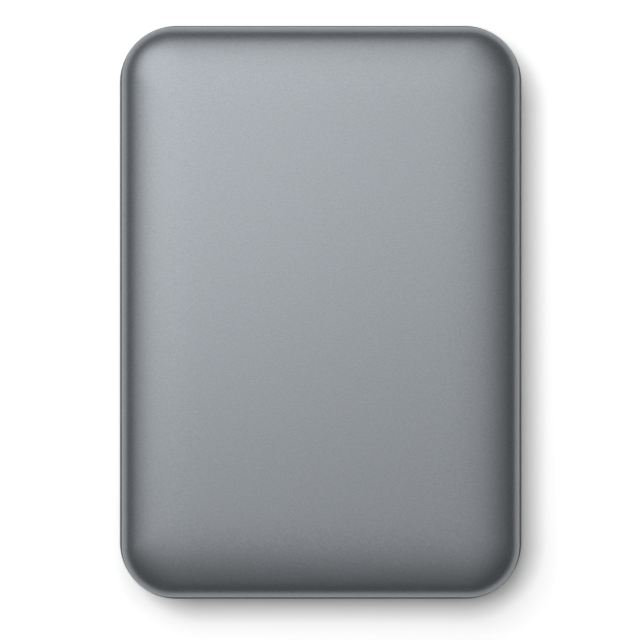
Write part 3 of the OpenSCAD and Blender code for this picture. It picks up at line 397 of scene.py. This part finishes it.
def finish(name, shade, pattern=speckle, size=0.25 * MM, metal=0.0, rough=0.5, tone=0.06,
           rough_share=0.1, relief=0.0, coat=0.0, clear=0.0):
    """Surface of one shade with a pattern in Object coordinates.

    tone and rough_share are the shares by which colour and roughness follow the pattern, and relief
    is its depth in metres. coat is a clear lacquer, and clear lets light through.
    """
    material = bpy.data.materials.new(name)
    material.use_nodes = True
    tree = material.node_tree
    shader = tree.nodes["Principled BSDF"]
    colour = light_value(shade)
    shader.inputs["Base Color"].default_value = (*colour, 1.0)
    shader.inputs["Metallic"].default_value = metal
    shader.inputs["Roughness"].default_value = rough
    shader.inputs["Coat Weight"].default_value = coat
    shader.inputs["Transmission Weight"].default_value = clear
    place = tree.nodes.new("ShaderNodeTexCoord")
    value = pattern(tree, place.outputs["Object"], size)
    tint = tree.nodes.new("ShaderNodeVectorMath")
    tint.operation = "SCALE"
    tint.inputs[0].default_value = colour
    tones = mapped(tree, value, GRAIN_RANGE, (1 - tone, 1 + tone))
    roughs = mapped(tree, value, GRAIN_RANGE, (rough * (1 - rough_share), rough * (1 + rough_share)))
    tree.links.new(tones, tint.inputs["Scale"])
    tree.links.new(tint.outputs["Vector"], shader.inputs["Base Color"])
    tree.links.new(roughs, shader.inputs["Roughness"])
    if relief > 0:
        bump = tree.nodes.new("ShaderNodeBump")
        bump.inputs["Strength"].default_value = 1.0
        bump.inputs["Distance"].default_value = relief
        tree.links.new(value, bump.inputs["Height"])
        tree.links.new(bump.outputs["Normal"], shader.inputs["Normal"])
    return material


def middle(name):
    """Centre of a node's box in plan."""
    low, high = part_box(name)
    return (low.x + high.x) / 2, (low.y + high.y) / 2


disk_rings = rings_about(*middle("platter"))
pivot_rings = rings_about(*middle("pivot_shaft"))
coil_rings = rings_about(*middle("voice_coil"))
finishes = {
    "case_grey": finish("satin_case_paint", (0.513, 0.529, 0.545), size=0.28 * MM, metal=0.7,
                        rough=0.38, tone=0.15, rough_share=0.05),
    "base_grey": finish("moulded_base_plastic", (0.57, 0.585, 0.60), size=0.3 * MM, rough=0.5,
                        relief=0.02 * MM),
    "foot_rubber": finish("foot_rubber", (0.12, 0.12, 0.125), rough=0.8, tone=0.15,
                          relief=0.02 * MM),
    "boot_rubber": finish("boot_rubber", (0.16, 0.16, 0.17), rough=0.75, tone=0.12,
                          relief=0.02 * MM),
    "foam": finish("open_cell_foam", (0.20, 0.20, 0.22), cells, 0.5 * MM, rough=1.0, tone=0.5,
                   relief=0.15 * MM),
    "foil": finish("shield_foil", (0.78, 0.79, 0.80), size=3.0 * MM, metal=1.0, rough=0.22,
                   relief=0.1 * MM),
    "bridge_green": finish("green_solder_mask", (0.05, 0.28, 0.17), tracks, 2.0 * MM, rough=0.35,
                           tone=0.35, relief=0.02 * MM),
    "port_steel": finish("port_shell_steel", (0.72, 0.73, 0.74), brushed, 0.15 * MM, metal=1.0,
                         rough=0.3, rough_share=0.25),
    "black_nylon": finish("black_nylon", (0.10, 0.10, 0.11), rough=0.5, relief=0.01 * MM),
    "gold": finish("contact_gold", (0.83, 0.68, 0.36), brushed, 0.1 * MM, metal=1.0, rough=0.25),
    "chip_black": finish("chip_epoxy", (0.09, 0.09, 0.10), rough=0.6, tone=0.15,
                         relief=0.01 * MM),
    "ceramic": finish("fired_ceramic", (0.72, 0.62, 0.48), rough=0.55),
    "led_white": finish("light_epoxy", (0.95, 0.95, 0.90), rough=0.25, tone=0.03),
    "clear_pipe": finish("clear_light_pipe", (0.85, 0.92, 0.95), rough=0.12, tone=0.02,
                         clear=0.7),
    "screw_steel": finish("zinc_screw_steel", (0.70, 0.70, 0.72), metal=1.0, rough=0.35),
    "cast_alloy": finish("cast_alloy", (0.66, 0.67, 0.68), size=0.4 * MM, metal=1.0, rough=0.5,
                         relief=0.03 * MM),
    "lid_alloy": finish("stamped_lid", (0.76, 0.77, 0.78), brushed, 0.12 * MM, metal=1.0,
                        rough=0.32, rough_share=0.2),
    "gasket": finish("gasket_rubber", (0.13, 0.13, 0.14), rough=0.8),
    "dark_screw": finish("dark_screw_steel", (0.30, 0.30, 0.32), metal=1.0, rough=0.35),
    "board_blue": finish("blue_solder_mask", (0.06, 0.20, 0.36), tracks, 2.4 * MM, rough=0.35,
                         tone=0.35, relief=0.02 * MM),
    "bronze": finish("sintered_bronze", (0.72, 0.60, 0.40), disk_rings, 0.1 * MM, metal=1.0,
                     rough=0.45),
    "stator_steel": finish("stator_laminations", (0.50, 0.51, 0.53), layers, 0.35 * MM,
                           metal=1.0, rough=0.4, tone=0.25),
    "copper": finish("enamelled_copper", (0.72, 0.40, 0.20), coil_rings, 0.15 * MM, metal=1.0,
                     rough=0.3, tone=0.3, relief=0.03 * MM),
    "ground_steel": finish("ground_steel", (0.75, 0.76, 0.78), pivot_rings, 0.05 * MM, metal=1.0,
                           rough=0.2),
    "hub_alloy": finish("turned_hub_alloy", (0.70, 0.71, 0.73), disk_rings, 0.08 * MM, metal=1.0,
                        rough=0.28, rough_share=0.25),
    "magnet_dark": finish("bonded_magnet", (0.25, 0.25, 0.27), metal=0.6, rough=0.5),
    "disk_mirror": finish("disk_mirror", (0.82, 0.83, 0.84), disk_rings, 0.5 * MM, metal=1.0,
                          rough=0.05, tone=0.01, rough_share=0.3),
    "spring_steel": finish("spring_steel", (0.80, 0.80, 0.81), brushed, 0.1 * MM, metal=1.0,
                           rough=0.25),
    "slider_ceramic": finish("slider_ceramic", (0.20, 0.20, 0.22), size=0.1 * MM, rough=0.2),
    "yoke_nickel": finish("nickel_yoke", (0.62, 0.63, 0.65), size=0.4 * MM, metal=1.0, rough=0.3),
    "magnet_nickel": finish("nickel_magnet", (0.55, 0.56, 0.58), size=0.4 * MM, metal=1.0,
                            rough=0.22),
    "ramp_plastic": finish("ramp_plastic", (0.90, 0.89, 0.84), rough=0.35, tone=0.03),
    "filter_cloth": finish("filter_felt", (0.93, 0.93, 0.90), cells, 0.25 * MM, rough=1.0,
                           tone=0.12, relief=0.08 * MM),
    "polyimide": finish("polyimide_film", (0.72, 0.42, 0.12), brushed, 0.3 * MM, rough=0.3,
                        tone=0.12, coat=0.5),
}
for part in frame["record"]["subparts"]:
    node = nodes[part["node"]]
    node.data.materials.clear()
    node.data.materials.append(finishes[part["material_slot"]])


# Case
def cover_skin():
    """Top cover: an inner skin, a bevelled rim, and an outer skin rolled up to the crown.

    The outer skin's inset is that of the rolled edge less WALL_DRAW (1 - exp(-inset / WALL_DRAW)),
    which stands its side wall up a little more.
    """
    rise = CROWN_Z - RIM_Z
    outer = rolled_edge(ROLL, rise, ROLL_POWER, RIM_Z, 96)
    outer[:, 0] -= WALL_DRAW * (1 - np.exp(-outer[:, 0] / WALL_DRAW))
    inner = rolled_edge(ROLL - WALL, rise - WALL, ROLL_POWER, RIM_Z, 30) + [WALL, 0]
    rim = [[RIM_SOFT_IN, RIM_Z], [RIM_BEVEL_IN, RIM_Z + RIM_BEVEL_UP]]
    section = np.concatenate([inner[::-1], rim, outer[outer[:, 1] > RIM_Z + ROLL_START]])
    return swept_skin("top_cover_skin", section, RIM_HALF_W - RIM_DRAW, RIM_HALF_L - RIM_DRAW,
                      RIM_CORNER, CROWN_CORNER)


def hook_boxes(gap):
    """Snap hooks on both sides and the front. With a gap, the openings for them in the tongue, wider
    than the hooks by the gap all round."""
    boxes = []
    half = HOOK_W / 2 + gap
    low_z, high_z = HOOK_Z - gap, HOOK_Z + HOOK_H + gap
    near, far = HOOK_ROOT, HOOK_REACH
    if gap > 0:
        near, far = TONGUE_OUT - gap, TONGUE_IN + HOOK_CUT_PAST
    for y in [side * place for side in (-1, 1) for place in SIDE_HOOKS]:
        for low_x, high_x in ((LIP_HALF_W - far, LIP_HALF_W - near),
                              (near - LIP_HALF_W, far - LIP_HALF_W)):
            boxes.append(box_mesh((low_x, y - half, low_z), (high_x, y + half, high_z)))
    for x in (-FRONT_HOOK, FRONT_HOOK):
        boxes.append(box_mesh((x - half, near - LIP_HALF_L, low_z),
                              (x + half, far - LIP_HALF_L, high_z)))
    return boxes


def ceiling_ribs():
    """Two long ribs, and two pairs of cross ribs over the foam strips."""
    top = CROWN_Z - WALL + RIB_BITE
    boxes = [box_mesh((x - RIB_T / 2, -RIB_HALF_L, RIB_Z), (x + RIB_T / 2, RIB_HALF_L, top))
             for x in (-RIB_PITCH / 2, RIB_PITCH / 2)]
    for pad in ("foam_pad_front", "foam_pad_rear"):
        low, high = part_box(pad)
        for y in [low.y * (1 - share) + high.y * share for share in RIB_PLACES]:
            boxes.append(box_mesh((-RIB_HALF_W, y - RIB_T / 2, RIB_Z),
                                  (RIB_HALF_W, y + RIB_T / 2, top)))
    return boxes


add_piece("cover_shell", joined("cover", [cover_skin()] + hook_boxes(0) + ceiling_ribs()),
          "top_cover", "case_grey")


# Port, light pipe and feet
port_low, port_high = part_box("usb_shell")
pipe_low, pipe_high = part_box("light_pipe")
PORT_W = port_high.x - port_low.x
PORT_H = port_high.z - port_low.z
PORT_X = (port_low.x + port_high.x) / 2
PORT_Z = (port_low.z + port_high.z) / 2
PORT_GAP = 0.2 * MM
PORT_OPENING_CORNER = 0.7 * MM
OPENING_DEPTH = 4.0 * MM
CUT_PAST = 2.0 * MM
PIPE_R = 0.7 * MM
PIPE_GAP = 0.05 * MM
PIPE_X = (pipe_low.x + pipe_high.x) / 2
PIPE_Z = pipe_high.z - PIPE_R
FOOT_GAP = 0.15 * MM
FOOT_SEAT = 0.5 * MM
FOOT_CUT_Z = -1.0 * MM
FOOT_EDGE = 0.35 * MM
FEET = ("foot_front_left", "foot_front_right", "foot_rear_left", "foot_rear_right")


def rear_opening(outline, x, z):
    """Cutter through the base's rear wall."""
    return level_bar(outline, x, z, LIP_HALF_L - OPENING_DEPTH, LIP_HALF_L + CUT_PAST)


def base_skin():
    """Base: an outer skin rolled under the lip, the lip's rounded edge, and an inner skin.

    Between the lip and the inner skin runs a groove along the cover's rim, which shows as a dark
    line. The port, the light pipe and the feet have their openings cut into it.
    """
    drop = LIP_Z - BELLY_Z
    deep = LIP_Z - GROOVE_D
    outer = rolled_edge(UNDER_ROLL, -drop, ROUND_POWER, LIP_Z, 40)
    outer = outer[outer[:, 1] < LIP_Z - LIP_START]
    lip = rolled_edge(LIP_ROUND, LIP_ROUND, ROUND_POWER, LIP_Z - LIP_ROUND, 8)
    inner = rolled_edge(UNDER_ROLL - WALL, WALL - drop, ROUND_POWER, LIP_Z, 20) + [WALL, 0]
    groove = [[LIP_W, LIP_Z, LIP_INNER_CORNER],
              [LIP_W + GROOVE_DRAFT, deep, LIP_INNER_CORNER],
              [GROOVE_IN, deep, GROOVE_IN_CORNER],
              [GROOVE_IN + 2 * GROOVE_DRAFT, LIP_Z, GROOVE_IN_CORNER]]
    outside, inside = [np.column_stack([part, np.maximum(LIP_CORNER - part[:, 0], LEAST_CORNER)])
                       for part in (np.concatenate([outer[::-1], lip]), inner)]
    section = np.concatenate([outside, groove, inside])
    skin = swept_skin("base_skin", section, LIP_HALF_W, LIP_HALF_L, LIP_CORNER)
    half_w, half_h = PORT_W / 2 + PORT_GAP, PORT_H / 2 + PORT_GAP
    slot = soft_polygon([(-half_w, -half_h), (half_w, -half_h), (half_w, half_h),
                         (-half_w, half_h)], PORT_OPENING_CORNER)
    turn = np.linspace(0, 2 * math.pi, 48, endpoint=False)
    bore = (PIPE_R + PIPE_GAP) * np.column_stack([np.cos(turn), np.sin(turn)])
    cutters = [rear_opening(slot, PORT_X, PORT_Z), rear_opening(bore, PIPE_X, PIPE_Z)]
    for foot in FEET:
        low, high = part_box(foot)
        radius = (high.x - low.x) / 2 + FOOT_GAP
        cutters.append(turned_mesh("recess", *middle(foot),
                                   [(radius, FOOT_CUT_Z), (radius, BELLY_Z + FOOT_SEAT)]))
    return cut_away(skin, cutters)


def tongue():
    """Ledge and locating tongue inside the lip, open behind the bridge board and at the hooks."""
    section = [(WALL / 2, LEDGE_Z), (WALL / 2, LIP_Z), (TONGUE_OUT, LIP_Z),
               (TONGUE_OUT, TONGUE_TOP), (TONGUE_IN, TONGUE_TOP), (TONGUE_IN, LEDGE_Z)]
    ring = swept_skin("tongue", section, LIP_HALF_W, LIP_HALF_L, LIP_CORNER, closed=True)
    board_low, board_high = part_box("bridge_board")
    bay = box_mesh((board_low.x - BAY_GAP, LIP_HALF_L - BAY_DEPTH, BAY_Z),
                   (board_high.x + BAY_GAP, LIP_HALF_L - WALL / 2, CROWN_Z))
    return cut_away(ring, [bay] + hook_boxes(HOOK_GAP))


def board_supports():
    """Screw post and rest under the bridge board."""
    low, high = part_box("bridge_board")
    foot_z = BELLY_Z + WALL - SUPPORT_BITE
    profile = [(POST_BORE_R, foot_z), (POST_R, foot_z), (POST_R, low.z), (POST_BORE_R, low.z)]
    post = turned_mesh("post", *middle("bridge_screw"), profile, 40, closed=True)
    rest = box_mesh((PORT_X - REST_HALF_W, high.y - REST_SPAN[0], foot_z),
                    (PORT_X + REST_HALF_W, high.y - REST_SPAN[1], low.z))
    return [post, rest]


add_piece("base_shell", joined("base", [base_skin(), tongue()] + board_supports()),
          "base_cover", "base_grey")


# Feet
def foot_disc(foot):
    """Round rubber foot with a soft lower edge: a quarter ellipse, then straight up."""
    low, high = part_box(foot)
    radius = (high.x - low.x) / 2
    t = np.radians(np.linspace(0.0, 90.0, 10))
    edge = np.column_stack([radius - FOOT_EDGE * (1 - np.sin(t)), FOOT_EDGE * (1 - np.cos(t))])
    profile = np.concatenate([edge + [0, low.z], [(radius, high.z)]])
    return turned_mesh(foot, *middle(foot), profile)


for foot in FEET:
    add_piece(foot + "_disc", foot_disc(foot), foot, "foot_rubber")


# Port shell
PORT_SKIN = 0.25 * MM
PORT_BACK = 0.4 * MM
PORT_MOUTH = 0.1 * MM
PORT_CORNER = 0.45 * MM
PORT_INNER_CORNER = 0.25 * MM
WIDE_BEVEL = 1.1 * MM
NARROW_BEVEL = 0.55 * MM
NOTCH_X = 0.13 * PORT_W
NOTCH_W = 0.6 * MM
NOTCH_H = 0.5 * MM
NOTCH_SLOPE = 0.4 * MM


def port_shell():
    """Drawn steel shell of the micro-B port: a wide half and a narrow half with bevelled lower corners
    and a notch between them, closed at the rear by a back PORT_BACK thick."""
    w, h = PORT_W / 2, PORT_H / 2
    notch_end = NOTCH_X + NOTCH_W
    corners = np.array([
        (-w + WIDE_BEVEL, -h), (NOTCH_X - NOTCH_SLOPE, -h), (NOTCH_X, NOTCH_H - h),
        (notch_end, NOTCH_H - h), (notch_end + NOTCH_SLOPE, -h), (w - NARROW_BEVEL, -h),
        (w, NARROW_BEVEL - h), (w, h), (-w, h), (-w, WIDE_BEVEL - h)])
    outer = soft_polygon(corners, PORT_CORNER)
    inner = soft_polygon(drawn_in(corners, PORT_SKIN), PORT_INNER_CORNER)
    mouth = (outer + inner) / 2
    back, front = port_low.y, port_high.y
    rings = [(inner, back + PORT_BACK), (inner, front - PORT_MOUTH), (mouth, front),
             (outer, front - PORT_MOUTH), (outer, back)]
    return skin_mesh("port", [np.column_stack([PORT_X + ring[:, 0], np.full(len(ring), y),
                                               PORT_Z + ring[:, 1]]) for ring, y in rings])


add_piece("port_shell", port_shell(), "usb_shell", "port_steel")


# Floor, with a shadow painted by its glow beside the case
FLOOR_HALF = 3.0
FLOOR_RINGS = (0.02, 0.3, 1.0)
FLOOR_WHITE = 0.9
SWEEP_R = 0.6
# Painted shadow: the floor's glow is held low next to the case, round a rectangle moved away from the
# lamps. This paints a narrow, dark shadow on the floor beside the case, on the side away from the
# lamps.
PAINTED_SHADOW_SHIFT = 2.8 * MM
PAINTED_SHADOW_CORE = (LIP_HALF_W - LIP_CORNER - PAINTED_SHADOW_SHIFT, LIP_HALF_L - LIP_CORNER - PAINTED_SHADOW_SHIFT, 0.0)
PAINTED_SHADOW_WIDTH = 5.6 * MM
GLOW_FAR = 200.0 * MM
GLOW_LOW = 0.07
GLOW_MID = 0.47


def floor_mesh():
    """Round floor of level rings, whose rim sweeps up: at the angle t the radius is
    FLOOR_HALF - SWEEP_R (1 - sin t) and the height is SWEEP_R (1 - cos t)."""
    t = np.radians(np.linspace(0.0, 90.0, 24))
    radius = np.concatenate([FLOOR_RINGS, FLOOR_HALF - SWEEP_R * (1 - np.sin(t))])
    height = np.concatenate([np.zeros(len(FLOOR_RINGS)), SWEEP_R * (1 - np.cos(t))])
    turn = np.linspace(0, 2 * math.pi, 96, endpoint=False)
    rings = np.stack([radius[:, None] * np.cos(turn), radius[:, None] * np.sin(turn),
                      np.broadcast_to(height[:, None], (len(height), len(turn)))], -1)
    index = np.arange(rings.shape[0] * rings.shape[1]).reshape(rings.shape[:2])
    ahead = np.roll(index, -1, axis=1)
    quads = np.stack([index[:-1], index[1:], ahead[1:], ahead[:-1]], -1).reshape(-1, 4).tolist()
    mesh = bpy.data.meshes.new("studio_floor")
    mesh.from_pydata(rings.reshape(-1, 3).tolist(), [], quads + [index[0].tolist()])
    mesh.polygons.foreach_set("use_smooth", np.ones(len(mesh.polygons), bool))
    mesh.update()
    return mesh


def distance_from_painted_shadow_core(tree, place):
    """Distance on the floor from the rectangle at the core of the painted shadow. The rectangle is
    LIP_CORNER inside the case's outline and moved away from the lamps. The distance is the length of
    what |place - shift| has over the rectangle's half sizes. The floor's glow is lowest near this
    rectangle, which paints a shadow beside the case on the side away from the lamps."""
    steps = [("SUBTRACT", (PAINTED_SHADOW_SHIFT, -PAINTED_SHADOW_SHIFT, 0.0)), ("ABSOLUTE", None),
             ("SUBTRACT", PAINTED_SHADOW_CORE), ("MAXIMUM", (0.0, 0.0, 0.0))]
    for operation, value in steps:
        step = tree.nodes.new("ShaderNodeVectorMath")
        step.operation = operation
        tree.links.new(place, step.inputs[0])
        if value is not None:
            step.inputs[1].default_value = value
        place = step.outputs["Vector"]
    length = tree.nodes.new("ShaderNodeVectorMath")
    length.operation = "LENGTH"
    tree.links.new(place, length.inputs[0])
    return length.outputs["Value"]


def floor_finish_with_painted_shadow():
    """Matt white that glows to the camera and to glossy and see-through rays only.

    The glow grows with the distance from the case: from its lowest at the case's outline to a middle
    value a few millimetres out, and from there to a full white at GLOW_FAR, where the lamps no longer
    reach. The low glow next to the case is a painted shadow. It is measured from a rectangle moved
    away from the lamps, so it darkens the floor beside the case on the side away from the lamps. The
    shadow there is darker and narrower than the lamps alone cast.
    """
    material = bpy.data.materials.new("white_floor_and_painted_shadow")
    material.use_nodes = True
    tree = material.node_tree
    shader = tree.nodes["Principled BSDF"]
    shader.inputs["Base Color"].default_value = (FLOOR_WHITE, FLOOR_WHITE, FLOOR_WHITE, 1.0)
    shader.inputs["Roughness"].default_value = 1.0
    shader.inputs["Specular IOR Level"].default_value = 0.0
    shader.inputs["Emission Color"].default_value = (1.0, 1.0, 1.0, 1.0)
    place = tree.nodes.new("ShaderNodeTexCoord")
    distance = distance_from_painted_shadow_core(tree, place.outputs["Object"])
    edge = LIP_CORNER + PAINTED_SHADOW_WIDTH
    # Low glow next to the case, rising outwards: a painted shadow on the floor.
    near = mapped(tree, distance, (LIP_CORNER, edge), (GLOW_LOW, GLOW_MID))
    far = mapped(tree, distance, (edge, GLOW_FAR), (0.0, 1.0 - GLOW_MID))
    ray = tree.nodes.new("ShaderNodeLightPath")
    shiny = combined(tree, "MAXIMUM", ray.outputs["Is Glossy Ray"],
                     ray.outputs["Is Transmission Ray"])
    seen = combined(tree, "MAXIMUM", ray.outputs["Is Camera Ray"], shiny)
    glow = combined(tree, "MULTIPLY", seen, combined(tree, "ADD", near, far))
    tree.links.new(glow, shader.inputs["Emission Strength"])
    return material


floor = bpy.data.objects.new("studio_floor", floor_mesh())
floor.data.materials.append(floor_finish_with_painted_shadow())
bpy.context.scene.collection.objects.link(floor)


# Lamps: for each its azimuth and elevation in degrees, and its watts
LAMP_DISTANCE = 0.5
LAMP_SIZE = 0.22
WORLD_LIGHT = 0.02
LAMPS = {
    "key": (135, 55, 0.45), "rear": (90, 55, 0.29), "left": (180, 55, 0.15),
    "over_rear": (120, 75, 0.26), "over_left": (180, 75, 0.29), "over_right": (60, 75, 0.20),
    "over_front": (300, 75, 0.09), "over_side": (0, 75, 0.09),
    "front": (270, 55, 0.05), "right": (0, 55, 0.05),
}


def round_lamp(name, azimuth, elevation, watts):
    """Round soft lamp at LAMP_DISTANCE in a direction in degrees, facing the middle."""
    data = bpy.data.lights.new(name, "AREA")
    data.shape = "DISK"
    data.size = LAMP_SIZE
    data.energy = watts
    lamp = bpy.data.objects.new(name, data)
    bpy.context.scene.collection.objects.link(lamp)
    a, e = math.radians(azimuth), math.radians(elevation)
    way = Vector((math.cos(e) * math.cos(a), math.cos(e) * math.sin(a), math.sin(e)))
    lamp.location = LAMP_DISTANCE * way
    lamp.rotation_euler = (-way).to_track_quat("-Z", "Y").to_euler()


for name, (azimuth, elevation, watts) in LAMPS.items():
    round_lamp(name, azimuth, elevation, watts)

world = bpy.data.worlds.new("studio")
world.use_nodes = True
world.node_tree.nodes["Background"].inputs["Color"].default_value = (1, 1, 1, 1)
world.node_tree.nodes["Background"].inputs["Strength"].default_value = WORLD_LIGHT
bpy.context.scene.world = world

# Camera: straight above, with the case as wide in the picture, and its middle as far from the
# picture's, as in the photograph
CASE_PIXELS = 401.7
PICTURE_PIXELS = 640
SHIFT_PIXELS = (-0.65, -7.7)
PIXEL = 2 * LIP_HALF_W / CASE_PIXELS
LENS = 200.0
SENSOR = 36.0
DISTANCE = PICTURE_PIXELS * PIXEL * LENS / SENSOR
camera_data = bpy.data.cameras.new("camera")
camera_data.lens = LENS
camera_data.sensor_width = SENSOR
camera_data.clip_start = 0.01
camera = bpy.data.objects.new("camera", camera_data)
bpy.context.scene.collection.objects.link(camera)
camera.location = (SHIFT_PIXELS[0] * PIXEL, SHIFT_PIXELS[1] * PIXEL, LIP_Z + DISTANCE)
bpy.context.scene.camera = camera

bpy.context.scene.view_settings.view_transform = "Standard"
